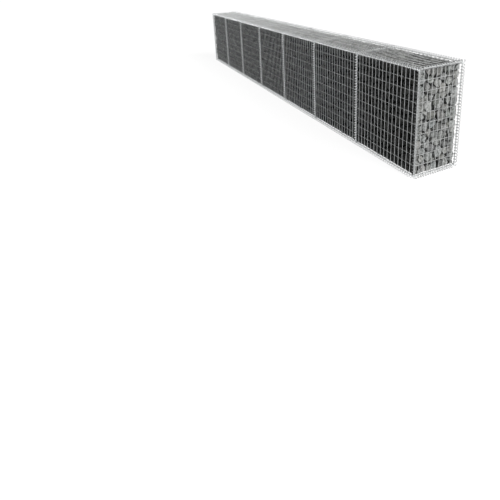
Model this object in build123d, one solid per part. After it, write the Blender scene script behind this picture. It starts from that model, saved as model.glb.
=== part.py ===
"""Gabion wall: a row of stone-filled bays in welded wire mesh, laced with spiral binders.

Millimetres. +X runs along the wall, -Y is its front, +Z is up, and the origin is under its middle,
on the ground.
"""

from build123d import *
import os

# The cage, to the outer faces of its mesh
wall_length = 6000.0
wall_width = 500.0
wall_height = 1000.0
bay_count = 7

# Welded mesh: uprights lie outside, line wires inside
mesh_wire = 4.0
upright_pitch = 50.0
line_pitch = 100.0
inner_mesh_pitch = 110.0  # wires of the base and the dividers, one way only

# Spiral binders, drawn as the sleeve that their turns fill
spiral_diameter = 36.0
spiral_wire = 4.0

# Clearances
seat_gap = 0.3  # between pieces that rest on or are laced to each other
bay_gap = 3.0  # between the panels of neighbouring bays
weld_gap = 0.3  # between the two layers of wires, away from the panel's rim
fill_headroom = 9.4  # between the stones and the mesh of the covers

# Worked out
spiral_radius = spiral_diameter / 2
bay_length = wall_length / bay_count
panel_depth = 2 * mesh_wire + weld_gap
base_z = spiral_radius  # the bottom spirals lie on the ground and carry the mesh
top_z = base_z + wall_height
side_bottom = base_z + panel_depth + seat_gap
side_height = wall_height - 2 * (panel_depth + seat_gap)
inner_width = wall_width - 2 * (panel_depth + seat_gap)
joint_x = [bay_length * n - wall_length / 2 for n in range(1, bay_count)]
bay_x = [bay_length * (n + 0.5) - wall_length / 2 for n in range(bay_count)]


def spread(length, pitch):
    """Places of the wires between the two rim wires, evenly spaced at about the pitch."""
    cells = max(1, round(length / pitch))
    return [length * n / cells - length / 2 for n in range(1, cells)]


def mesh_panel(width, height, upright_step, line_step=None):
    """A mesh panel, its middle at the origin and its outer face at Z 0, facing +Z."""
    rim = Rectangle(width, height) - Rectangle(width - 2 * mesh_wire, height - 2 * mesh_wire)
    panel = extrude(rim, -panel_depth)
    bars = []
    for x in spread(width - mesh_wire, upright_step):
        upright = Box(mesh_wire, height - 2 * mesh_wire, mesh_wire)
        bars.append(Pos(x, 0, -mesh_wire / 2) * upright)
    if line_step:
        for y in spread(height - mesh_wire, line_step):
            line = Box(width - 2 * mesh_wire, mesh_wire, mesh_wire)
            bars.append(Pos(0, y, mesh_wire / 2 - panel_depth) * line)
    return panel + bars


def spiral_sleeve(length, open_corners):
    """An open eight-sided sleeve along +Z from the origin, cut away where the mesh enters it."""
    ring = RegularPolygon(spiral_radius, 8, major_radius=False, rotation=22.5)
    ring -= RegularPolygon(spiral_radius - spiral_wire, 8, major_radius=False, rotation=22.5)
    size = spiral_diameter
    for side_x, side_y in open_corners:
        cut = Pos(side_x * (size / 2 - seat_gap), side_y * (size / 2 - seat_gap)) * Rectangle(size, size)
        ring -= cut
    return extrude(ring, length)


def facing(origin, out, across):
    """The place of a panel that faces out, with its width across."""
    return Plane(origin=origin, x_dir=across, z_dir=out).location


def save(name, *solids):
    """Writes one node, of one solid or of like solids that lie apart."""
    shape = solids[0] if len(solids) == 1 else Compound(children=list(solids))
    shape.label = name
    export_step(shape, f"parts/{name}.step")


os.makedirs("parts", exist_ok=True)

# Mesh panels of the front, the back, the covers and the base
side_panel = mesh_panel(bay_length - bay_gap, side_height, upright_pitch, line_pitch)
cover_panel = mesh_panel(bay_length - bay_gap, wall_width, upright_pitch, line_pitch)
base_panel = mesh_panel(bay_length - bay_gap, wall_width, inner_mesh_pitch)
side_middle = side_bottom + side_height / 2
base_panels = []
for number, x in enumerate(bay_x, start=1):
    front = facing((x, -wall_width / 2, side_middle), (0, -1, 0), (1, 0, 0))
    back = facing((x, wall_width / 2, side_middle), (0, 1, 0), (-1, 0, 0))
    save(f"front_panel_{number}", side_panel.moved(front))
    save(f"back_panel_{number}", side_panel.moved(back))
    save(f"cover_panel_{number}", cover_panel.moved(facing((x, 0, top_z), (0, 0, 1), (1, 0, 0))))
    base_panels.append(base_panel.moved(facing((x, 0, base_z), (0, 0, -1), (1, 0, 0))))
save("base_panels", *base_panels)

# Mesh panels of the two ends and between the bays
end_panel = mesh_panel(inner_width, side_height, upright_pitch, line_pitch)
divider = mesh_panel(inner_width, side_height, inner_mesh_pitch)
for name, side in (("end_panel_left", -1), ("end_panel_right", 1)):
    place = facing((side * wall_length / 2, 0, side_middle), (side, 0, 0), (0, side, 0))
    save(name, end_panel.moved(place))
dividers = []
for x in joint_x:
    place = facing((x + panel_depth / 2, 0, side_middle), (1, 0, 0), (0, 1, 0))
    dividers.append(divider.moved(place))
save("divider_panels", *dividers)

# Stone fill, one block a bay, which lies on the base mesh and leaves room for the spirals
fill_inset = spiral_radius + seat_gap
divider_inset = panel_depth / 2 + seat_gap
fill_height = side_height - fill_headroom
for number, x in enumerate(bay_x, start=1):
    left = x - bay_length / 2 + (fill_inset if number == 1 else divider_inset)
    right = x + bay_length / 2 - (fill_inset if number == bay_count else divider_inset)
    fill = Box(right - left, wall_width - 2 * fill_inset, fill_height)
    middle = Pos((left + right) / 2, 0, side_bottom + fill_height / 2)
    save(f"stone_fill_{number}", middle * fill)

# Spirals along the four long edges, through the corners
edge_length = wall_length + spiral_diameter
for level, z, inside_z in (("top", top_z, -1), ("bottom", base_z, 1)):
    for face, side in (("front", -1), ("back", 1)):
        # The sleeve's own X points along world Y, and its own Y along world Z
        sleeve = spiral_sleeve(edge_length, [(-side, inside_z)])
        start = Plane(origin=(-edge_length / 2, side * wall_width / 2, z), x_dir=(0, 1, 0), z_dir=(1, 0, 0))
        save(f"{level}_{face}_spiral", sleeve.moved(start.location))

# Spirals at the four upright corners, between the long ones
upright_length = wall_height - 2 * (spiral_radius + seat_gap)
upright_z = base_z + spiral_radius + seat_gap
for face, side_y in (("front", -1), ("back", 1)):
    corners = []
    for side_x in (-1, 1):
        sleeve = spiral_sleeve(upright_length, [(-side_x, -side_y)])
        corners.append(Pos(side_x * wall_length / 2, side_y * wall_width / 2, upright_z) * sleeve)
    save(f"{face}_corner_spirals", *corners)

# Spirals along the top and the bottom of the two ends
cross_length = wall_width - 2 * (spiral_radius + seat_gap)
for name, side in (("left_end_spirals", -1), ("right_end_spirals", 1)):
    edges = []
    for z, inside_z in ((base_z, 1), (top_z, -1)):
        # Run towards +Y, the sleeve's own X points along world Z and its own Y along world X
        sleeve = spiral_sleeve(cross_length, [(inside_z, -side)])
        start = Plane(origin=(side * wall_length / 2, -cross_length / 2, z), x_dir=(0, 0, 1), z_dir=(0, 1, 0))
        edges.append(sleeve.moved(start.location))
    save(name, *edges)

# Spirals that lace the bays together, half a sleeve outside the mesh
for face, side in (("front", -1), ("back", 1)):
    half = spiral_sleeve(upright_length, [(-1, -side), (1, -side)])
    laced = [Pos(x, side * wall_width / 2, upright_z) * half for x in joint_x]
    save(f"{face}_joint_spirals", *laced)
for level, z, inside_z in (("cover", top_z, -1), ("base", base_z, 1)):
    half = spiral_sleeve(cross_length, [(inside_z, -1), (inside_z, 1)])
    laced = []
    for x in joint_x:
        start = Plane(origin=(x, -cross_length / 2, z), x_dir=(0, 0, 1), z_dir=(0, 1, 0))
        laced.append(half.moved(start.location))
    save(f"{level}_joint_spirals", *laced)
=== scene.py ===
"""Gabion wall: the looks of its welded mesh, spiral binders and stone fill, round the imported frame.

Lengths are metres. +X runs along the wall, -Y is its front and +Z is up.
"""

import logging
import math
from collections.abc import Iterator
from dataclasses import dataclass, field
from enum import Enum
from itertools import combinations

import bmesh
import bpy
import numpy as np
from mathutils import Matrix, Vector


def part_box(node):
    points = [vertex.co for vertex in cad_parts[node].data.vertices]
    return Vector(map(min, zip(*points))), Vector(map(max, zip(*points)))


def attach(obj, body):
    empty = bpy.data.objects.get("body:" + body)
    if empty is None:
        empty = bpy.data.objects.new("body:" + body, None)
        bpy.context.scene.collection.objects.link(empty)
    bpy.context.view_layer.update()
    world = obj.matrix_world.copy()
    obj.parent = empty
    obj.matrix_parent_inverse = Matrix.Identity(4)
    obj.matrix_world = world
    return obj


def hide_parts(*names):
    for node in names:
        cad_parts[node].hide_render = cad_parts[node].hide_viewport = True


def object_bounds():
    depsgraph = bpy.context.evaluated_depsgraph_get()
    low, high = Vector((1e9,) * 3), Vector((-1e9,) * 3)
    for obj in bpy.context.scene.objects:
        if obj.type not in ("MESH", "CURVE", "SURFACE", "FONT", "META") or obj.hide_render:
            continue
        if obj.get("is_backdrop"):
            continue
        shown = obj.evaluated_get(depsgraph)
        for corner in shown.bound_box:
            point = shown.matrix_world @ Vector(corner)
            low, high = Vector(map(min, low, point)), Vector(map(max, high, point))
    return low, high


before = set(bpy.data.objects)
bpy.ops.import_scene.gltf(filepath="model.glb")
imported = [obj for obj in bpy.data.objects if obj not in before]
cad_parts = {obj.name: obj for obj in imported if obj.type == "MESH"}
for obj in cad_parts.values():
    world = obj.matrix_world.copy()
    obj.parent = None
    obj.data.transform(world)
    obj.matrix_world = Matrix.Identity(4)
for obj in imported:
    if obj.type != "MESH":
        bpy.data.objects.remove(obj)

log = logging.getLogger("gabion_wall")

CAD_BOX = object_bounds()
MM = 0.001
BODY = "root"
TINT = "stone_tint"
TINT_SCALE = 0.5  # tints are stored at half their value, so that the palest stays a plain colour
FULL_RANGE = (0.0, 1.0)
WHITE = (1.0, 1.0, 1.0)

Colour = tuple[float, float, float]
Surface = tuple[np.ndarray, list[list[int]]]
Value = bpy.types.NodeSocket | float | tuple[float, ...]


@dataclass
class Shapes:
    """Points and faces of many small closed shapes, gathered into one mesh."""

    points: list[np.ndarray] = field(default_factory=list)
    faces: list[list[int]] = field(default_factory=list)
    tints: list[np.ndarray] = field(default_factory=list)
    count: int = 0

    def add(self, points: np.ndarray, faces: list[list[int]], tint: np.ndarray | None = None) -> None:
        """Adds one closed shape.

        Args:
            points: its corners, one row each.
            faces: corner numbers of each face, counted within this shape.
            tint: its own colour, or None where the material needs none.
        """
        self.points.append(points)
        self.faces += [[self.count + n for n in face] for face in faces]
        self.count += len(points)
        if tint is not None:
            self.tints.append(np.tile(tint, (len(points), 1)))

    def to_object(self, name: str, material: bpy.types.Material, sharp_deg: float) -> bpy.types.Object:
        """Makes the object that holds all the shapes.

        Args:
            name: the object's name.
            material: its finish.
            sharp_deg: edges that bend more than this stay sharp.

        Returns:
            The object, linked to the scene.
        """
        mesh = bpy.data.meshes.new(name)
        mesh.from_pydata(np.concatenate(self.points).tolist(), [], self.faces)
        mesh.shade_smooth()
        mesh.set_sharp_from_angle(angle=math.radians(sharp_deg))
        if self.tints:
            colours = mesh.color_attributes.new(TINT, "FLOAT_COLOR", "POINT")
            rgba = np.insert(np.concatenate(self.tints), 3, 1.0, axis=1)
            colours.data.foreach_set("color", rgba.astype(np.float32).ravel())
        mesh.materials.append(material)
        piece = bpy.data.objects.new(name, mesh)
        bpy.context.scene.collection.objects.link(piece)
        return piece


def unit(vector: np.ndarray) -> np.ndarray:
    """The vectors of the last axis, each one unit long."""
    return vector / np.linalg.norm(vector, axis=-1, keepdims=True)


def lattice(counts: np.ndarray) -> np.ndarray:
    """The cells of a grid by their whole numbers, one row each."""
    return np.stack(np.meshgrid(*(np.arange(n) for n in counts), indexing="ij"), -1).reshape(-1, len(counts))


def square_to(along: np.ndarray) -> np.ndarray:
    """A unit vector square to another.

    Args:
        along: the other, a unit vector.

    Returns:
        A level vector, or one along Y where the other stands upright.
    """
    upright_from = 0.5  # the least rise of a vector that counts as upright
    aside = np.array([0.0, 0.0, 1.0]) if abs(along[2]) < upright_from else np.array([1.0, 0.0, 0.0])
    return unit(np.cross(along, aside))


def sweep(path: np.ndarray, normals: np.ndarray, radius: float, sides: int) -> Surface:
    """A round wire along a path, closed at both ends.

    Args:
        path: points of its centre line.
        normals: a unit vector square to the path at each point.
        radius: the wire's radius.
        sides: faces round the wire.

    Returns:
        The wire's points and faces.
    """
    tangents = unit(np.gradient(path, axis=0))
    binormals = np.cross(tangents, normals)
    angles = np.arange(sides) * (2 * math.pi / sides)
    across = np.cos(angles)[None, :, None] * normals[:, None]
    across = across + np.sin(angles)[None, :, None] * binormals[:, None]
    points = (path[:, None] + radius * across).reshape(-1, 3)
    faces = []
    for ring in range(len(path) - 1):
        here, ahead = ring * sides, (ring + 1) * sides
        for side in range(sides):
            turn = (side + 1) % sides
            faces.append([here + side, here + turn, ahead + turn, ahead + side])
    last = (len(path) - 1) * sides
    faces.append(list(range(sides - 1, -1, -1)))
    faces.append(list(range(last, last + sides)))
    return points, faces


def straight_wire(start: np.ndarray, end: np.ndarray, radius: float, sides: int) -> Surface:
    """The points and faces of a straight wire, which runs between the middles of its two ends."""
    normal = square_to(unit(end - start))
    return sweep(np.array([start, end]), np.array([normal, normal]), radius, sides)


@dataclass(frozen=True)
class Cage:
    """The planes that the mesh lies in, read from the frame."""

    low: np.ndarray
    high: np.ndarray
    bays: list[tuple[float, float]]
    joints: list[float]
    spiral_radius: float

    @classmethod
    def from_frame(cls) -> "Cage":
        """Reads the outer faces of the mesh, the ends of the bays and the spirals' radius.

        Returns:
            The cage.
        """
        front_nodes = sorted(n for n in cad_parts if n.startswith("front_panel_"))
        bays = [(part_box(n)[0].x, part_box(n)[1].x) for n in front_nodes]
        base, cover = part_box("base_panels"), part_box("cover_panel_1")
        left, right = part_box("end_panel_left"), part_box("end_panel_right")
        low = np.array([left[0].x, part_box("front_panel_1")[0].y, base[0].z])
        high = np.array([right[1].x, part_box("back_panel_1")[1].y, cover[1].z])
        joints = [(here[1] + after[0]) / 2 for here, after in zip(bays, bays[1:])]
        return cls(low, high, bays, joints, base[0].z - CAD_BOX[0].z)


class Side(Enum):
    """Which way a panel's width, its height and its outer face point."""

    FRONT = ((1, 0, 0), (0, 0, 1), (0, -1, 0))
    BACK = ((-1, 0, 0), (0, 0, 1), (0, 1, 0))
    COVER = ((1, 0, 0), (0, 1, 0), (0, 0, 1))
    BASE = ((1, 0, 0), (0, -1, 0), (0, 0, -1))
    LEFT = ((0, -1, 0), (0, 0, 1), (-1, 0, 0))
    RIGHT = ((0, 1, 0), (0, 0, 1), (1, 0, 0))

    @property
    def axes(self) -> np.ndarray:
        """Across, up and out, one row each."""
        return np.array(self.value, dtype=float)

    @property
    def out(self) -> np.ndarray:
        """The direction that the outer face looks in."""
        return self.axes[2]


@dataclass
class MeshPanel:
    """A welded panel: uprights outside, line wires inside, and a weld where they cross."""

    side: Side
    low: np.ndarray
    high: np.ndarray
    welds: bool = True
    wire: float = 4.4 * MM
    rim: float = 6.0 * MM  # the uprights at both ends
    upright_pitch: float = 50 * MM
    line_pitch: float = 100 * MM
    weld_sink: float = 0.6 * MM  # how far the two layers are pressed into each other
    weld_size: float = 3.0 * MM
    wire_sides: int = 8
    sharp_deg: float = 50.0

    def places(self, length: float, pitch: float) -> np.ndarray:
        """Where wires lie along a length, its two rims among them."""
        span = length - self.rim
        return np.linspace(-span / 2, span / 2, max(1, round(span / pitch)) + 1)

    def radii(self, count: int) -> list[float]:
        """The radius of each upright: the two rims have their own."""
        return [self.rim / 2, *[self.wire / 2] * (count - 2), self.rim / 2]

    def build(self, shapes: Shapes) -> None:
        """Adds the panel's wires and welds.

        Args:
            shapes: where they go.
        """
        across, up, out = self.side.axes
        size = self.high - self.low
        width, height, depth = abs(size @ across), abs(size @ up), abs(size @ out)
        face = (self.low + self.high) / 2 + out * (depth / 2)
        upright_layer = face - out * (self.wire / 2)
        line_layer = upright_layer - out * (self.wire - self.weld_sink)
        columns, rows = self.places(width, self.upright_pitch), self.places(height, self.line_pitch)
        for x, radius in zip(columns, self.radii(len(columns))):
            ends = [upright_layer + across * x + up * (sign * height / 2) for sign in (-1, 1)]
            shapes.add(*straight_wire(ends[0], ends[1], radius, self.wire_sides))
        for y in rows:
            ends = [line_layer + up * y + across * (sign * width / 2) for sign in (-1, 1)]
            shapes.add(*straight_wire(ends[0], ends[1], self.wire / 2, self.wire_sides))
        if self.welds:
            middle = (upright_layer + line_layer) / 2
            for x in columns:
                for y in rows:
                    self.weld(shapes, middle + across * x + up * y)

    def weld(self, shapes: Shapes, place: np.ndarray) -> None:
        """Adds the bead where two wires are welded, an eight-faced lump.

        Args:
            shapes: where it goes.
            place: its middle.
        """
        across, up, out = self.side.axes * self.weld_size
        points = np.array([across, up, -across, -up, out, -out]) + place
        ring = [(0, 1), (1, 2), (2, 3), (3, 0)]
        faces = [[a, b, 4] for a, b in ring] + [[b, a, 5] for a, b in ring]
        shapes.add(points, faces)


@dataclass
class SpiralBinder:
    """A coil of wire that laces two edges of mesh together."""

    start: np.ndarray
    end: np.ndarray
    radius: float  # to the outside of its turns
    wire: float = 5.6 * MM
    pitch: float = 1 / 34.8
    steps_a_turn: int = 12
    wire_sides: int = 6
    sharp_deg: float = 60.0

    def build(self, shapes: Shapes) -> None:
        """Adds the coil.

        Args:
            shapes: where it goes.
        """
        span = self.end - self.start
        along = unit(span)
        first = square_to(along)
        second = np.cross(along, first)
        turns = (np.linalg.norm(span) - self.wire) / self.pitch
        share = np.linspace(0, 1, round(turns * self.steps_a_turn) + 1)[:, None]
        angle = 2 * math.pi * turns * share
        radial = np.cos(angle) * first + np.sin(angle) * second
        inset = along * (self.wire / 2)
        path = self.start + inset + (span - 2 * inset) * share + radial * (self.radius - self.wire / 2)
        shapes.add(*sweep(path, radial, self.wire / 2, self.wire_sides))


@dataclass(frozen=True)
class StoneTint:
    """How the colours of single stones differ from the rock's own."""

    spread: float = 0.21
    warmth: float = 0.012
    green: float = 0.004
    green_spread: float = 0.008
    limits: tuple[float, float] = (0.35, 1.4)
    core: float = 0.06  # the block behind the stones, near black as painted shade

    def pick(self, rng: np.random.Generator) -> np.ndarray:
        """Draws one stone's tint.

        Args:
            rng: the bay's random numbers.

        Returns:
            Its colour as a factor on the rock's, at the stored scale.
        """
        value = rng.normal(1.0, self.spread)
        warm, green = rng.normal(0, self.warmth), rng.normal(self.green, self.green_spread)
        return np.clip(value * np.array([1 + warm, 1 + green, 1 - warm]), *self.limits) * TINT_SCALE

    def of_shaded_core(self) -> np.ndarray:
        """The core's tint, near black as painted shade, at the stored scale."""
        return np.full(3, self.core * TINT_SCALE)


@dataclass
class StoneBed:
    """The stones of one bay: broken rock packed against the mesh, round a core painted near black as shade.

    Each stone is the hull of rays from its middle, which end at its neighbours and at the mesh.
    """

    low: np.ndarray
    high: np.ndarray
    shown: tuple[Side, ...]
    seed: int
    tints: StoneTint = StoneTint()

    # The grid of middles, with its shifts as shares of a cell
    pitch: tuple[float, float, float] = (100 * MM, 116 * MM, 61 * MM)
    left_out: float = 0.04  # share of the places that stay empty
    fillers: float = 0.15  # stones put anywhere, as a share of the grid's
    stagger: float = 0.5
    jitter: tuple[float, float, float] = (0.33, 0.33, 0.28)
    face_jitter: float = 0.05  # of the outermost stones, square to their side
    margin: float = 0.3  # between a middle and the side of the bed

    # Small stones on the top and along the edges
    top_pitch: float = 60 * MM
    top_shake: tuple[float, float] = (0.1, 0.9)
    edge_pitch: float = 66 * MM
    edge_shake: tuple[float, float] = (0.2, 0.8)
    edge_inset: float = 24 * MM
    inset_spread: tuple[float, float] = (0.7, 1.3)

    # Rays towards the edges of the bed, beside those that go all round
    edge_within: float = 0.8  # for stones this near, as a share of the widest pitch
    edge_half_length: float = 0.6  # of the stretch that they end on, as a share of its pitch
    edge_rays: int = 7
    edge_stretch: float = 1.08

    # Where a side stops a stone
    proud: float = 2.5 * MM  # most that a stone stands in front of or behind its side
    headroom: float = 7 * MM  # how far above the bed the highest stones rise
    top_fall: float = 14 * MM
    edge_fall: tuple[float, float] = (0.45, 0.65)  # shares of the fall along the long edges
    foot_rise: tuple[float, float] = (4.5 * MM, 9 * MM)  # from the bed's floor to a stone
    tilt_deg: float = 4.5  # few stones lean more against the mesh
    grazing: float = 0.01  # least slope of a ray towards a side

    # The shape of a stone
    directions: int = 110
    scatter: float = 0.09
    neighbourhood: float = 3.0  # how many pitches off a neighbour may lie
    share: tuple[float, float] = (0.46, 0.54)  # of the way to a neighbour
    gap: float = 2.8 * MM
    gap_spread: tuple[float, float] = (0.3, 1.5)
    rounding: float = 20.0
    unevenness: float = 0.03
    sharp_deg: float = 30.0

    # What stands behind the stones that show
    skin: float = 3.0  # how many times proud behind a side a stone still shows
    core_inset: float = 13 * MM

    def __post_init__(self) -> None:
        """Starts the bay's own random numbers."""
        self.rng = np.random.default_rng(self.seed)

    @property
    def edge_strip(self) -> float:
        """How far in from an edge its own small stones reach."""
        return 2 * self.edge_inset

    def centres(self) -> np.ndarray:
        """Places the stones: a staggered grid, shaken, with small ones between and along the edges.

        Returns:
            The stones' middles, one row each.
        """
        size = self.high - self.low
        counts = np.maximum(1, np.round(size / self.pitch).astype(int))
        cell = size / counts
        grid = lattice(counts)
        places = (grid + 0.5) * cell
        outermost = (grid == 0) | (grid == counts - 1)
        stagger = (grid[:, 2] % 2 - 0.5) * self.stagger
        places[:, 0] += np.where(outermost[:, 0], 0, stagger) * cell[0]
        places[:, 1] += np.where(outermost[:, 0], stagger, 0) * cell[1]
        shake = np.where(outermost, self.face_jitter, self.jitter)
        places += self.rng.uniform(-1, 1, places.shape) * shake * cell
        places = places[self.rng.random(len(places)) > self.left_out]
        fillers = self.rng.uniform(0, 1, (round(self.fillers * len(places)), 3)) * size
        places = np.concatenate([places, fillers])
        margin = self.margin * cell
        places = np.clip(places, margin, size - margin) + self.low
        return np.concatenate([places, self.top_places(), *self.edge_places()])

    def top_places(self) -> np.ndarray:
        """Places the small stones that level the top, away from its long edges.

        Returns:
            Their middles, one row each.
        """
        size = self.high - self.low
        counts = np.round(size[:2] / self.top_pitch).astype(int)
        grid = lattice(counts)
        across = (grid + self.rng.uniform(*self.top_shake, grid.shape)) * size[:2] / counts
        clear = np.minimum(across[:, 1], size[1] - across[:, 1]) > self.edge_strip
        depth = self.rng.uniform(*self.inset_spread, len(grid)) * self.edge_inset
        return (np.column_stack([across, size[2] - depth]) + self.low)[clear]

    def edges(self) -> Iterator[tuple[np.ndarray, np.ndarray]]:
        """Finds the edges of the bed that show.

        Yields:
            The outward directions of the two sides that meet in an edge.
        """
        for first, second in combinations((*self.shown, Side.BASE), 2):
            if not first.out @ second.out:
                yield first.out, second.out

    def edge_places(self) -> Iterator[np.ndarray]:
        """Places the small stones that make each shown edge straight.

        Yields:
            The middles along one edge, one row each.
        """
        for first, second in self.edges():
            along = np.abs(np.cross(first, second))
            corner = np.where(first + second > 0, self.high, self.low)
            length = float((self.high - self.low) @ along)
            count = round(length / self.edge_pitch)
            steps = (np.arange(count) + self.rng.uniform(*self.edge_shake, count)) * (length / count)
            inset = self.rng.uniform(*self.inset_spread, (count, 2)) * self.edge_inset
            start = corner * (1 - along) + self.low * along
            yield start + along * steps[:, None] - first * inset[:, :1] - second * inset[:, 1:]

    def ball(self) -> np.ndarray:
        """Spreads directions evenly all round, turned and shaken at random.

        Returns:
            One unit vector a row.
        """
        count = self.directions
        golden_angle = math.pi * (3 - math.sqrt(5))
        turn = golden_angle * np.arange(count)
        height = 1 - 2 * (np.arange(count) + 0.5) / count
        flat = np.sqrt(1 - height**2)
        even = np.stack([np.cos(turn) * flat, np.sin(turn) * flat, height], -1)
        spin = np.linalg.qr(self.rng.normal(size=(3, 3)))[0]
        return unit(even @ spin + self.rng.normal(scale=self.scatter, size=even.shape))

    def towards_edges(self, centre: np.ndarray) -> np.ndarray:
        """Directions to points along the nearby edges of the bed, where a stone ends in a straight line.

        Args:
            centre: the stone's middle.

        Returns:
            One unit vector a row, of any number of rows.
        """
        found = []
        for outs in self.edges():
            away = [self.to_side(out, centre) for out in outs]
            if max(away) < self.edge_within * max(self.pitch):
                along = np.cross(*outs) * self.pitch
                shares = np.linspace(-self.edge_half_length, self.edge_half_length, self.edge_rays)
                found += [away[0] * outs[0] + away[1] * outs[1] + along * share for share in shares]
        return unit(np.array(found).reshape(-1, 3))

    def fall(self, centre: np.ndarray) -> float:
        """How far a stone's top lies below the highest: by chance, and evenly along the long edges.

        Args:
            centre: the stone's middle.

        Returns:
            The fall in metres.
        """
        near = min(self.to_side(side.out, centre) for side in (Side.FRONT, Side.BACK))
        low, high = self.edge_fall if near < self.edge_strip else FULL_RANGE
        return self.rng.uniform(low, high) * self.top_fall

    def corner(self, out: np.ndarray) -> np.ndarray:
        """A corner of the bed that lies on the side that faces out."""
        return self.high if out.sum() > 0 else self.low

    def to_side(self, out: np.ndarray, centre: np.ndarray) -> float:
        """How far a stone's middle lies from the side of the bed that faces out."""
        return float((self.corner(out) - centre) @ out)

    def walls(self, centre: np.ndarray) -> Iterator[tuple[np.ndarray, float]]:
        """The planes that stop a stone: the mesh where it shows, and the base or a divider elsewhere.

        Args:
            centre: the stone's middle.

        Yields:
            A plane's normal and its distance from the middle.
        """
        for side in Side:
            out = side.out
            reach = self.to_side(out, centre)
            if side in self.shown:
                lean = self.rng.normal(scale=math.tan(math.radians(self.tilt_deg)) / 2, size=3)
                reach += self.rng.uniform(-self.proud, self.proud)
                if side is Side.COVER:
                    reach += self.headroom - self.fall(centre)
                yield unit(out + lean), reach
            elif side is Side.BASE:
                yield out, reach - self.rng.uniform(*self.foot_rise)
            else:
                yield out, reach - self.gap / 2

    def reach(self, centre: np.ndarray, others: np.ndarray, rays: np.ndarray) -> np.ndarray:
        """How far a stone reaches along each ray before a neighbour or a wall stops it.

        Args:
            centre: the stone's middle.
            others: middles of the stones round it.
            rays: unit vectors, those towards edges last.

        Returns:
            One distance a ray, rounded between neighbours and flat against the walls.
        """
        apart = np.linalg.norm(others - centre, axis=1)
        normals = (others - centre) / apart[:, None]
        share = self.rng.uniform(*self.share, len(apart))
        limits = apart * share - self.gap * self.rng.uniform(*self.gap_spread, len(apart))
        nearness = np.maximum(rays @ normals.T, 0) / np.maximum(limits, self.gap)
        reach = np.sum(nearness**self.rounding, axis=1) ** (-1 / self.rounding)
        reach *= self.rng.normal(1, self.unevenness, len(rays))
        reach[self.directions:] *= self.edge_stretch
        for normal, limit in self.walls(centre):
            towards = np.maximum(rays @ normal, self.grazing)
            reach = np.minimum(reach, max(limit, self.gap) / towards)
        return reach

    def build(self, shapes: Shapes) -> int:
        """Adds the stones that show and the core behind them.

        Args:
            shapes: where they go.

        Returns:
            How many stones there are.
        """
        centres = self.centres()
        made = 0
        for centre in centres:
            apart = np.linalg.norm(centres - centre, axis=1)
            near = centres[(apart > 0) & (apart < self.neighbourhood * max(self.pitch))]
            rays = np.concatenate([self.ball(), self.towards_edges(centre)])
            points = centre + rays * self.reach(centre, near, rays)[:, None]
            if self.seen(points):
                shapes.add(*hull(points), tint=self.tints.pick(self.rng))
                made += 1
        shapes.add(*self.core(), tint=self.tints.of_shaded_core())
        return made

    def seen(self, points: np.ndarray) -> bool:
        """Says if one of a stone's points lies close to a side that shows."""
        close = self.skin * self.proud
        return any(((self.corner(side.out) - points) @ side.out).min() < close for side in self.shown)

    def core(self) -> Surface:
        """The block behind the stones, which keeps light from passing between them.

        Returns:
            Its points and faces.
        """
        low, high = self.low.copy(), self.high.copy()
        for side in self.shown:
            if side.out.sum() > 0:
                high -= side.out * self.core_inset
            else:
                low -= side.out * self.core_inset
        corners = [(x, y, z) for z in (0, 1) for y in (0, 1) for x in (0, 1)]
        points = np.array([[(low, high)[bit][axis] for axis, bit in enumerate(corner)] for corner in corners])
        faces = [[0, 2, 3, 1], [4, 5, 7, 6], [0, 1, 5, 4], [2, 6, 7, 3], [0, 4, 6, 2], [1, 3, 7, 5]]
        return points, faces


def hull(points: np.ndarray) -> Surface:
    """The closed skin round a cloud of points.

    Args:
        points: the cloud.

    Returns:
        The skin's points and faces.
    """
    shell = bmesh.new()
    for point in points:
        shell.verts.new(point)
    found = bmesh.ops.convex_hull(shell, input=shell.verts, use_existing_faces=False)
    loose = {v for v in found["geom_interior"] + found["geom_unused"] if isinstance(v, bmesh.types.BMVert)}
    bmesh.ops.delete(shell, geom=list(loose), context="VERTS")
    bmesh.ops.recalc_face_normals(shell, faces=shell.faces)
    shell.verts.index_update()
    corners = np.array([v.co[:] for v in shell.verts])
    faces = [[v.index for v in face.verts] for face in shell.faces]
    shell.free()
    return corners, faces


def opaque(colour: Colour) -> tuple[float, float, float, float]:
    """A colour with its alpha."""
    return (*colour, 1.0)


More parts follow.
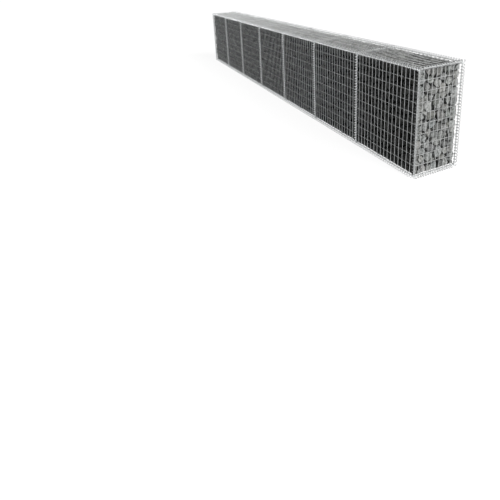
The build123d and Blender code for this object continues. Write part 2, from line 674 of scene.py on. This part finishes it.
class Graph:
    """Adds and joins the nodes of one tree."""

    def __init__(self, tree: bpy.types.NodeTree) -> None:
        """Keeps the tree."""
        self.tree = tree

    def add(self, kind: str, **settings: object) -> bpy.types.Node:
        """Adds a node.

        Args:
            kind: the node's type.
            **settings: its properties by name.

        Returns:
            The node.
        """
        node = self.tree.nodes.new(kind)
        for name, value in settings.items():
            setattr(node, name, value)
        return node

    def feed(self, socket: bpy.types.NodeSocket, value: Value) -> None:
        """Links an output into a socket, or sets the socket's own value.

        Args:
            socket: the input.
            value: an output, a number or a colour with its alpha.
        """
        if isinstance(value, bpy.types.NodeSocket):
            self.tree.links.new(value, socket)
        else:
            socket.default_value = value

    def noise(self, place: Value, scale: float, detail: float, rough: float) -> bpy.types.NodeSocket:
        """Noise from 0 to 1.

        Args:
            place: the coordinates.
            scale: how many swells a metre it has.
            detail: how many finer layers lie over them.
            rough: how much each of those counts.

        Returns:
            The noise.
        """
        node = self.add("ShaderNodeTexNoise")
        self.feed(node.inputs["Vector"], place)
        self.feed(node.inputs["Scale"], scale)
        self.feed(node.inputs["Detail"], detail)
        self.feed(node.inputs["Roughness"], rough)
        return node.outputs["Fac"]

    def remap(
        self, value: Value, source: tuple[float, float], target: tuple[Value, Value] = FULL_RANGE
    ) -> bpy.types.NodeSocket:
        """A value carried from one range to another, and kept inside it.

        Args:
            value: the value.
            source: where the first range starts and ends.
            target: the same of the other range.

        Returns:
            The new value.
        """
        node = self.add("ShaderNodeMapRange")
        sockets = ("Value", "From Min", "From Max", "To Min", "To Max")
        for socket, given in zip(sockets, (value, *source, *target)):
            self.feed(node.inputs[socket], given)
        return node.outputs["Result"]

    def mix(self, factor: Value, first: Value, second: Value, blend: str = "MIX") -> bpy.types.NodeSocket:
        """Two colours mixed.

        Args:
            factor: how much the second one counts.
            first: the first colour.
            second: the second one.
            blend: how they are joined.

        Returns:
            The mixed colour.
        """
        node = self.add("ShaderNodeMix", data_type="RGBA", blend_type=blend)
        self.feed(node.inputs["Factor"], factor)
        self.feed(node.inputs["A"], first)
        self.feed(node.inputs["B"], second)
        return node.outputs["Result"]

    def tinted(self, colour: Value, tint: Value) -> bpy.types.NodeSocket:
        """A colour multiplied by a tint."""
        return self.mix(1.0, colour, tint, "MULTIPLY")

    def math(self, operation: str, first: Value, second: Value) -> bpy.types.NodeSocket:
        """Two numbers joined by an operation.

        Args:
            operation: its name.
            first: the first number.
            second: the second one.

        Returns:
            The result.
        """
        node = self.add("ShaderNodeMath", operation=operation)
        self.feed(node.inputs[0], first)
        self.feed(node.inputs[1], second)
        return node.outputs["Value"]

    def product(self, first: Value, second: Value) -> bpy.types.NodeSocket:
        """Two numbers multiplied."""
        return self.math("MULTIPLY", first, second)


def group(
    name: str, inputs: dict[str, str], outputs: dict[str, str]
) -> tuple[Graph, bpy.types.NodeOutputs, bpy.types.NodeInputs]:
    """Starts a shader node group.

    Args:
        name: the group's name.
        inputs: socket names and kinds, Float, Color or Vector.
        outputs: the same for what it puts out.

    Returns:
        Its graph, the sockets that hold what it is given and those for its result.
    """
    tree = bpy.data.node_groups.new(name, "ShaderNodeTree")
    for way, sockets in (("INPUT", inputs), ("OUTPUT", outputs)):
        for label, kind in sockets.items():
            tree.interface.new_socket(label, in_out=way, socket_type=f"NodeSocket{kind}")
    graph = Graph(tree)
    given, result = graph.add("NodeGroupInput"), graph.add("NodeGroupOutput")
    return graph, given.outputs, result.inputs


def dust_group() -> bpy.types.NodeTree:
    """Stone dust and painted shade that darken what faces up, with an amount of their own near the ground.

    Returns:
        The group, which puts out a mask.
    """
    facing_up = (-0.2, 0.6)  # from none to full dust and painted shade, by the height of the normal
    patches, thinnest = (0.3, 0.6), 0.7
    foot = (0.04, 0.10)  # height over which the amount near the ground gives way to the other
    graph, given, result = group(
        "settled_dust", {"Vector": "Vector", "Amount": "Float", "Foot Amount": "Float"}, {"Mask": "Float"}
    )
    slope, height = graph.add("ShaderNodeSeparateXYZ"), graph.add("ShaderNodeSeparateXYZ")
    graph.feed(slope.inputs[0], graph.add("ShaderNodeNewGeometry").outputs["Normal"])
    graph.feed(height.inputs[0], given["Vector"])
    upward = graph.remap(slope.outputs["Z"], facing_up)
    drift = graph.noise(given["Vector"], scale=9.0, detail=4.0, rough=0.6)
    drift = graph.remap(drift, patches, (thinnest, 1.0))
    amount = graph.remap(height.outputs["Z"], foot, (given["Foot Amount"], given["Amount"]))
    graph.feed(result["Mask"], graph.product(graph.product(upward, drift), amount))
    return graph.tree


def zinc_group() -> bpy.types.NodeTree:
    """Hot-dip zinc: crystals of differing grey under a pale, chalky patina.

    Returns:
        The group.
    """
    crystal_greys = (0.82, 1.0)
    patches = (0.42, 0.68)
    roughness = (0.34, 0.62)  # of the clean zinc and of the patina
    graph, given, result = group(
        "hot_dip_zinc",
        {"Vector": "Vector", "Bright": "Color", "Dull": "Color", "Crystal Scale": "Float", "Patina": "Float"},
        {"Color": "Color", "Roughness": "Float", "Height": "Float"},
    )
    crystals = graph.add("ShaderNodeTexVoronoi")
    graph.feed(crystals.inputs["Vector"], given["Vector"])
    graph.feed(crystals.inputs["Scale"], given["Crystal Scale"])
    shade = graph.add("ShaderNodeSeparateColor")
    graph.feed(shade.inputs[0], crystals.outputs["Color"])
    grey = graph.remap(shade.outputs["Red"], FULL_RANGE, crystal_greys)
    metal = graph.tinted(given["Bright"], grey)
    bloom = graph.noise(given["Vector"], scale=26.0, detail=5.0, rough=0.65)
    bloom = graph.product(graph.remap(bloom, patches), given["Patina"])
    graph.feed(result["Color"], graph.mix(bloom, metal, given["Dull"]))
    graph.feed(result["Roughness"], graph.remap(bloom, FULL_RANGE, roughness))
    graph.feed(result["Height"], graph.noise(given["Vector"], scale=900.0, detail=2.0, rough=0.5))
    return graph.tree


def rock_group() -> bpy.types.NodeTree:
    """Broken rock: mottled grain with pale flecks, and a rough split face.

    Returns:
        The group.
    """
    mottle_edge = (0.38, 0.62)
    fleck_edge, most_fleck = (0.6, 0.72), 0.55
    worn, roughness = (0.3, 0.7), (0.78, 0.95)
    fine_height = 0.25  # of the coarse one's
    graph, given, result = group(
        "split_rock",
        {"Vector": "Vector", "Light": "Color", "Dark": "Color", "Fleck": "Color", "Tint": "Color"},
        {"Color": "Color", "Roughness": "Float", "Height": "Float"},
    )
    mottle = graph.noise(given["Vector"], scale=46.0, detail=6.0, rough=0.68)
    body = graph.mix(graph.remap(mottle, mottle_edge), given["Dark"], given["Light"])
    flecks = graph.noise(given["Vector"], scale=420.0, detail=2.0, rough=0.6)
    body = graph.mix(graph.remap(flecks, fleck_edge, (0.0, most_fleck)), body, given["Fleck"])
    full_tint = (1 / TINT_SCALE, 1 / TINT_SCALE, 1 / TINT_SCALE)
    graph.feed(result["Color"], graph.tinted(graph.tinted(body, given["Tint"]), opaque(full_tint)))
    graph.feed(result["Roughness"], graph.remap(mottle, worn, roughness))
    coarse = graph.noise(given["Vector"], scale=55.0, detail=5.0, rough=0.6)
    fine = graph.noise(given["Vector"], scale=320.0, detail=3.0, rough=0.6)
    graph.feed(result["Height"], graph.math("ADD", coarse, graph.product(fine, fine_height)))
    return graph.tree


@dataclass(frozen=True)
class Effects:
    """The shader node groups that the finishes share."""

    dust: bpy.types.NodeTree
    zinc: bpy.types.NodeTree
    rock: bpy.types.NodeTree

    @classmethod
    def build(cls) -> "Effects":
        """Builds each group once."""
        return cls(dust=dust_group(), zinc=zinc_group(), rock=rock_group())


@dataclass(frozen=True)
class ZincFinish:
    """Galvanised wire, with stone dust and painted shade on what faces up."""

    name: str
    bright: Colour
    dull: Colour  # of the patina
    patina: float
    dust: float
    foot_dust: float
    metallic: float = 1.0
    crystal_scale: float = 160.0
    dust_colour: Colour = (0.22, 0.22, 0.205)
    dust_roughness: float = 0.9
    relief: float = 0.2 * MM
    relief_strength: float = 0.15

    def material(self, effects: Effects) -> bpy.types.Material:
        """Builds the material.

        Args:
            effects: the shared node groups.

        Returns:
            The material.
        """
        material, graph, shader = principled(self.name)
        place = graph.add("ShaderNodeTexCoord").outputs["Object"]
        zinc = graph.add("ShaderNodeGroup", node_tree=effects.zinc)
        graph.feed(zinc.inputs["Vector"], place)
        graph.feed(zinc.inputs["Bright"], opaque(self.bright))
        graph.feed(zinc.inputs["Dull"], opaque(self.dull))
        graph.feed(zinc.inputs["Crystal Scale"], self.crystal_scale)
        graph.feed(zinc.inputs["Patina"], self.patina)
        mask = dust_mask(graph, effects, place, self.dust, self.foot_dust)
        # Dust and painted shade: what faces up turns a dark matte grey.
        colour = graph.mix(mask, zinc.outputs["Color"], opaque(self.dust_colour))
        roughness = graph.remap(mask, FULL_RANGE, (zinc.outputs["Roughness"], self.dust_roughness))
        graph.feed(shader.inputs["Base Color"], colour)
        graph.feed(shader.inputs["Roughness"], roughness)
        graph.feed(shader.inputs["Metallic"], graph.remap(mask, FULL_RANGE, (self.metallic, 0.0)))
        bump(graph, shader, zinc.outputs["Height"], self.relief_strength, self.relief)
        return material


@dataclass(frozen=True)
class RockFinish:
    """Broken rock, each stone with its own tint, and painted shade that darkens what faces up."""

    name: str
    light: Colour
    dark: Colour
    fleck: Colour
    dust: float = 1.0
    painted_top_shade: Colour = (0.34, 0.34, 0.328)  # painted shade on what faces up; the stored tint darkens it twice, to a quarter on a plain stone
    specular: float = 0.12
    relief: float = 8 * MM
    relief_strength: float = 1.0

    def material(self, effects: Effects) -> bpy.types.Material:
        """Builds the material.

        Args:
            effects: the shared node groups.

        Returns:
            The material.
        """
        material, graph, shader = principled(self.name)
        place = graph.add("ShaderNodeTexCoord").outputs["Object"]
        rock = graph.add("ShaderNodeGroup", node_tree=effects.rock)
        graph.feed(rock.inputs["Vector"], place)
        for socket, colour in (("Light", self.light), ("Dark", self.dark), ("Fleck", self.fleck)):
            graph.feed(rock.inputs[socket], opaque(colour))
        tint = graph.add("ShaderNodeAttribute", attribute_name=TINT).outputs["Color"]
        graph.feed(rock.inputs["Tint"], tint)
        mask = dust_mask(graph, effects, place, self.dust, self.dust)
        # Painted shade: what faces up is darkened towards a near-black colour.
        painted_top_shade = graph.tinted(graph.tinted(tint, tint), opaque(self.painted_top_shade))
        colour = graph.mix(graph.product(mask, mask), rock.outputs["Color"], painted_top_shade)
        graph.feed(shader.inputs["Base Color"], colour)
        graph.feed(shader.inputs["Roughness"], rock.outputs["Roughness"])
        shader.inputs["Specular IOR Level"].default_value = self.specular
        bump(graph, shader, rock.outputs["Height"], self.relief_strength, self.relief)
        return material


def principled(name: str) -> tuple[bpy.types.Material, Graph, bpy.types.Node]:
    """Starts a material.

    Args:
        name: its name.

    Returns:
        The material, its graph and its shader.
    """
    material = bpy.data.materials.new(name)
    material.use_nodes = True
    return material, Graph(material.node_tree), material.node_tree.nodes["Principled BSDF"]


def dust_mask(
    graph: Graph, effects: Effects, place: Value, amount: float, foot_amount: float
) -> bpy.types.NodeSocket:
    """Adds the shared dust and painted shade to a material.

    Args:
        graph: the material's graph.
        effects: the shared node groups.
        place: the coordinates' socket.
        amount: how much dust and painted shade there is.
        foot_amount: the same near the ground.

    Returns:
        The mask's socket.
    """
    dust = graph.add("ShaderNodeGroup", node_tree=effects.dust)
    graph.feed(dust.inputs["Vector"], place)
    graph.feed(dust.inputs["Amount"], amount)
    graph.feed(dust.inputs["Foot Amount"], foot_amount)
    return dust.outputs["Mask"]


def bump(graph: Graph, shader: bpy.types.Node, height: Value, strength: float, depth: float) -> None:
    """Feeds a height into the shader's normal.

    Args:
        graph: the material's graph.
        shader: the shader that it goes to.
        height: the height's socket.
        strength: how much of it shows.
        depth: how deep it is.
    """
    node = graph.add("ShaderNodeBump")
    node.inputs["Strength"].default_value = strength
    node.inputs["Distance"].default_value = depth
    graph.feed(node.inputs["Height"], height)
    graph.feed(shader.inputs["Normal"], node.outputs["Normal"])


# Little dust and painted shade near the ground, so that the lowest wires show lighter as painted light.
MESH_WIRE = ZincFinish(
    name="galvanised_mesh",
    bright=(0.78, 0.80, 0.81),
    dull=(0.66, 0.67, 0.67),
    patina=0.6,
    dust=0.7,
    foot_dust=0.1,
)
# A darker copy of the mesh's zinc: painted shade on the lid's wires, with more dust and painted shade on what
# faces up.
COVER_WIRE = ZincFinish(
    name="dusty_mesh",
    bright=(0.77, 0.79, 0.80),
    dull=(0.66, 0.67, 0.67),
    patina=0.6,
    dust=0.78,
    foot_dust=0.78,
)
# A darker copy of the mesh's zinc: painted shade on the ends' wires.
END_WIRE = ZincFinish(
    name="shaded_end_mesh",
    bright=(0.62, 0.63, 0.64),
    dull=(0.50, 0.51, 0.51),
    patina=0.8,
    dust=0.7,
    foot_dust=0.1,
)
# A paler copy of the zinc: painted light on the bottom spirals and the upright joints.
SPIRAL_WIRE = ZincFinish(
    name="painted_bright_spiral",
    bright=(0.96, 0.97, 0.98),
    dull=(0.92, 0.93, 0.93),
    patina=0.3,
    dust=0.1,
    foot_dust=0.3,
)
# A darker copy of the spirals' zinc: painted shade on the ends' spirals and the joints across the covers.
EDGE_WIRE = ZincFinish(
    name="shaded_edge_spiral",
    bright=(0.57, 0.58, 0.59),
    dull=(0.46, 0.47, 0.47),
    patina=0.7,
    dust=0.25,
    foot_dust=0.95,
)
# A darker copy of the spirals' zinc: painted shade on the spirals along the top.
RIDGE_WIRE = ZincFinish(
    name="shaded_ridge_spiral",
    bright=(0.67, 0.68, 0.69),
    dull=(0.56, 0.57, 0.57),
    patina=0.7,
    dust=0.2,
    foot_dust=0.2,
)
# A much darker copy of the spirals' zinc: painted shade on the upright corners' spirals.
CORNER_WIRE = ZincFinish(
    name="shaded_corner_spiral",
    bright=(0.33, 0.335, 0.34),
    dull=(0.29, 0.295, 0.295),
    patina=0.7,
    dust=0.25,
    foot_dust=0.95,
)
ROCK = RockFinish(
    name="broken_rock",
    light=(0.345, 0.351, 0.341),
    dark=(0.112, 0.116, 0.111),
    fleck=(0.48, 0.48, 0.465),
)


@dataclass
class GabionWall:
    """The whole wall, node by node."""

    cage: Cage
    mesh_wire: bpy.types.Material
    cover_wire: bpy.types.Material
    end_wire: bpy.types.Material
    spiral_wire: bpy.types.Material  # of the bottom and of the upright joints, paler as painted light
    edge_wire: bpy.types.Material  # of the ends and of the joints across the covers, darker as painted shade
    ridge_wire: bpy.types.Material  # along the top, darker as painted shade
    # painted shade: a much darker copy of the spirals' zinc
    corner_wire: bpy.types.Material
    rock: bpy.types.Material
    corner_coil: float = 4.8 * MM  # the wire of the corners' spirals
    first_seed: int = 41
    made: list[bpy.types.Object] = field(default_factory=list)

    def keep(self, piece: bpy.types.Object, slot: str, *nodes: str) -> None:
        """Joins a piece to the frame in place of its nodes.

        Args:
            piece: the finished piece.
            slot: the record's material slot; not used.
            *nodes: the nodes that it stands for.
        """
        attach(piece, BODY)
        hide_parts(*nodes)
        self.made.append(piece)
        log.info("%s: %d faces, for %s", piece.name, len(piece.data.polygons), ", ".join(nodes))

    def panel(self, node: str, side: Side, finish: bpy.types.Material, rim: float = MeshPanel.rim) -> None:
        """Builds one panel in place of its node.

        Args:
            node: the node's name.
            side: the way that it faces.
            finish: its material.
            rim: the thickness of its rim wires.
        """
        low, high = (np.array(corner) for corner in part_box(node))
        shapes = Shapes()
        MeshPanel(side, low, high, rim=rim).build(shapes)
        self.keep(shapes.to_object(f"{node}_wires", finish, MeshPanel.sharp_deg), "mesh_wire", node)

    def build_panels(self) -> None:
        """Builds the mesh of every side, of the base and of the dividers."""
        for number in range(1, len(self.cage.bays) + 1):
            self.panel(f"front_panel_{number}", Side.FRONT, self.mesh_wire)
            self.panel(f"back_panel_{number}", Side.BACK, self.mesh_wire)
            self.panel(f"cover_panel_{number}", Side.COVER, self.cover_wire)
        self.panel("end_panel_left", Side.LEFT, self.end_wire, rim=MeshPanel.wire)
        self.panel("end_panel_right", Side.RIGHT, self.end_wire, rim=MeshPanel.wire)
        self.build_base()
        self.build_dividers()

    def build_base(self) -> None:
        """Builds the base's mesh, bay by bay."""
        low, high = (np.array(corner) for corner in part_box("base_panels"))
        shapes = Shapes()
        for left, right in self.cage.bays:
            low[0], high[0] = left, right
            MeshPanel(Side.BASE, low, high, welds=False).build(shapes)
        piece = shapes.to_object("base_wires", self.mesh_wire, MeshPanel.sharp_deg)
        self.keep(piece, "mesh_wire", "base_panels")

    def build_dividers(self) -> None:
        """Builds the mesh between the bays, of the same size as an end's."""
        low, high = (np.array(corner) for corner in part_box("end_panel_right"))
        half_depth = (high[0] - low[0]) / 2
        shapes = Shapes()
        for x in self.cage.joints:
            low[0], high[0] = x - half_depth, x + half_depth
            MeshPanel(Side.RIGHT, low, high, welds=False).build(shapes)
        piece = shapes.to_object("divider_wires", self.mesh_wire, MeshPanel.sharp_deg)
        self.keep(piece, "mesh_wire", "divider_panels")

    def spirals(
        self,
        name: str,
        runs: list[tuple[tuple, tuple]],
        finish: bpy.types.Material,
        wire: float = SpiralBinder.wire,
    ) -> None:
        """Builds the coils of one node.

        Args:
            name: the node's name.
            runs: the two ends of each coil.
            finish: the coils' material.
            wire: how thick their wire is.
        """
        shapes = Shapes()
        for start, end in runs:
            SpiralBinder(np.array(start), np.array(end), self.cage.spiral_radius, wire).build(shapes)
        self.keep(shapes.to_object(f"{name}_wire", finish, SpiralBinder.sharp_deg), "spiral_wire", name)

    def build_spirals(self) -> None:
        """Builds every spiral binder on the cage's edges and joints."""
        (x0, y0, z0), (x1, y1, z1) = self.cage.low, self.cage.high
        radius, joints = self.cage.spiral_radius, self.cage.joints
        # bright and dull: the painted-light and painted-shade copies of the spirals' zinc.
        bright, dull = self.spiral_wire, self.edge_wire
        for face, y in (("front", y0), ("back", y1)):
            for level, z, edge in (("top", z1, self.ridge_wire), ("bottom", z0, bright)):
                self.spirals(f"{level}_{face}_spiral", [((x0 - radius, y, z), (x1 + radius, y, z))], edge)
            foot, head = z0 + radius, z1 - radius
            corners = [((x, y, foot), (x, y, head)) for x in (x0, x1)]
            self.spirals(f"{face}_corner_spirals", corners, self.corner_wire, wire=self.corner_coil)
            self.spirals(f"{face}_joint_spirals", [((x, y, foot), (x, y, head)) for x in joints], bright)
        near, far = y0 + radius, y1 - radius
        for name, x in (("left_end_spirals", x0), ("right_end_spirals", x1)):
            self.spirals(name, [((x, near, z), (x, far, z)) for z in (z0, z1)], dull)
        for name, z, edge in (("base_joint_spirals", z0, bright), ("cover_joint_spirals", z1, dull)):
            self.spirals(name, [((x, near, z), (x, far, z)) for x in joints], edge)

    def build_stones(self) -> None:
        """Builds the stone fill bay by bay."""
        last = len(self.cage.bays)
        for number in range(1, last + 1):
            node = f"stone_fill_{number}"
            low, high = (np.array(corner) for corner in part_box(node))
            shown = [Side.FRONT, Side.BACK, Side.COVER]
            shown += [Side.LEFT] if number == 1 else []
            shown += [Side.RIGHT] if number == last else []
            shapes = Shapes()
            count = StoneBed(low, high, tuple(shown), seed=self.first_seed + number - 1).build(shapes)
            log.info("%s has %d stones", node, count)
            piece = shapes.to_object(f"{node}_stones", self.rock, StoneBed.sharp_deg)
            self.keep(piece, "stone_fill", node)


def direction(azimuth_deg: float, elevation_deg: float) -> Vector:
    """The unit vector towards an azimuth, turned from the front towards +X, at a height above the horizon."""
    turn, rise = math.radians(azimuth_deg), math.radians(elevation_deg)
    return Vector((math.sin(turn) * math.cos(rise), -math.cos(turn) * math.cos(rise), math.sin(rise)))


@dataclass(frozen=True)
class Viewpoint:
    """The camera, fitted to the wall's corners and joints in the photograph."""

    place: tuple[float, float, float] = (5.416, -2.663, 1.859)
    azimuth_deg: float = 67.04
    elevation_deg: float = 15.07
    roll_deg: float = -2.83
    frame_px: float = 500.0
    focal_px: float = 396.2
    centre_px: tuple[float, float] = (265.0, 78.0)
    sensor_mm: float = 36.0
    farthest: float = 500.0

    def build(self) -> None:
        """Makes the camera and hands it to the scene."""
        data = bpy.data.cameras.new("camera")
        data.sensor_width = self.sensor_mm
        data.lens = self.focal_px / self.frame_px * data.sensor_width
        data.shift_x = (self.frame_px / 2 - self.centre_px[0]) / self.frame_px
        data.shift_y = (self.centre_px[1] - self.frame_px / 2) / self.frame_px
        data.clip_end = self.farthest
        camera = bpy.data.objects.new("camera", data)
        back = direction(self.azimuth_deg, self.elevation_deg)
        level = (-back).to_track_quat("-Z", "Y").to_matrix().to_4x4()
        roll = Matrix.Rotation(math.radians(self.roll_deg), 4, "Z")
        camera.matrix_world = Matrix.Translation(self.place) @ level @ roll
        bpy.context.scene.collection.objects.link(camera)
        bpy.context.scene.camera = camera


@dataclass(frozen=True)
class Studio:
    """A plain white room: a floor, an even surround and one soft key from beyond the wall's end."""

    floor_half: float = 150.0
    floor_grey: Colour = (0.16, 0.16, 0.16)  # under light, where the floor shows
    floor_glow: Colour = (0.93, 0.93, 0.93)  # added to that, so that it shows white
    floor_bounce: Colour = (0.07, 0.07, 0.07)  # for light that goes on to the wall
    surround: float = 0.0235
    key_strength: float = 5.2
    key_azimuth_deg: float = 107.0
    key_elevation_deg: float = 27.5
    key_softness_deg: float = 44.0

    def build(self) -> None:
        """Builds the floor, the surround and the key."""
        self.build_floor()
        self.build_surround()
        self.build_key()
        bpy.context.scene.view_settings.view_transform = "Standard"

    @staticmethod
    def seen_directly(graph: Graph) -> bpy.types.NodeSocket:
        """Tells rays that show the background itself, in the open, in metal or through glass.

        Args:
            graph: the graph of the floor or of the surround.

        Returns:
            1 for such rays and 0 for the others.
        """
        rays = graph.add("ShaderNodeLightPath").outputs
        shown = graph.math("MAXIMUM", rays["Is Camera Ray"], rays["Is Glossy Ray"])
        return graph.math("MAXIMUM", shown, rays["Is Transmission Ray"])

    def build_floor(self) -> None:
        """A white floor that keeps the wall's shadow."""
        mesh, half = bpy.data.meshes.new("floor"), self.floor_half
        corners = [(-half, -half, 0), (half, -half, 0), (half, half, 0), (-half, half, 0)]
        mesh.from_pydata(corners, [], [[0, 1, 2, 3]])
        mesh.materials.append(self.floor_material())
        floor = bpy.data.objects.new("floor", mesh)
        bpy.context.scene.collection.objects.link(floor)
        floor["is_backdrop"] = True

    def floor_material(self) -> bpy.types.Material:
        """Builds a finish that is white where it shows and throws little light back.

        Returns:
            The material.
        """
        material = bpy.data.materials.new("white_floor")
        material.use_nodes = True
        graph = Graph(material.node_tree)
        graph.tree.nodes.remove(graph.tree.nodes["Principled BSDF"])
        matte, bounce = graph.add("ShaderNodeBsdfDiffuse"), graph.add("ShaderNodeBsdfDiffuse")
        glow, blend = graph.add("ShaderNodeEmission"), graph.add("ShaderNodeAddShader")
        graph.feed(matte.inputs["Color"], opaque(self.floor_grey))
        graph.feed(bounce.inputs["Color"], opaque(self.floor_bounce))
        graph.feed(glow.inputs["Color"], opaque(self.floor_glow))
        graph.feed(blend.inputs[0], matte.outputs[0])
        graph.feed(blend.inputs[1], glow.outputs[0])
        choice = graph.add("ShaderNodeMixShader")
        graph.feed(choice.inputs[0], self.seen_directly(graph))
        graph.feed(choice.inputs[1], bounce.outputs[0])
        graph.feed(choice.inputs[2], blend.outputs[0])
        graph.feed(graph.tree.nodes["Material Output"].inputs["Surface"], choice.outputs[0])
        return material

    def build_surround(self) -> None:
        """White where it shows, and dim as a source of light."""
        world = bpy.data.worlds.new("surround")
        world.use_nodes = True
        graph = Graph(world.node_tree)
        glow = world.node_tree.nodes["Background"]
        strength = graph.remap(self.seen_directly(graph), FULL_RANGE, (self.surround, 1.0))
        graph.feed(glow.inputs["Color"], opaque(WHITE))
        graph.feed(glow.inputs["Strength"], strength)
        bpy.context.scene.world = world

    def build_key(self) -> None:
        """The key light, from above and beyond the near end, a little behind the wall."""
        data = bpy.data.lights.new("key", "SUN")
        data.energy = self.key_strength
        data.angle = math.radians(self.key_softness_deg)
        key = bpy.data.objects.new("key", data)
        towards = direction(self.key_azimuth_deg, self.key_elevation_deg)
        key.rotation_euler = towards.to_track_quat("Z", "Y").to_euler()
        bpy.context.scene.collection.objects.link(key)


def write_sizes() -> None:
    """Gathers the box of the frame and the box of the finished pieces, and keeps neither."""
    boxes = {"cad": CAD_BOX, "visual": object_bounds()}
    {name: [list(corner) for corner in box] for name, box in boxes.items()}


def main() -> None:
    """Builds the wall, the camera and the room, and reports what was made."""
    logging.basicConfig(level=logging.INFO, format="%(name)s: %(message)s")
    effects = Effects.build()
    wall = GabionWall(
        cage=Cage.from_frame(),
        mesh_wire=MESH_WIRE.material(effects),
        cover_wire=COVER_WIRE.material(effects),
        end_wire=END_WIRE.material(effects),
        spiral_wire=SPIRAL_WIRE.material(effects),
        edge_wire=EDGE_WIRE.material(effects),
        ridge_wire=RIDGE_WIRE.material(effects),
        corner_wire=CORNER_WIRE.material(effects),
        rock=ROCK.material(effects),
    )
    wall.build_panels()
    wall.build_spirals()
    wall.build_stones()
    Viewpoint().build()
    Studio().build()
    log.info("%d pieces, %d faces", len(wall.made), sum(len(piece.data.polygons) for piece in wall.made))
    write_sizes()


if __name__ == "__main__":
    main()
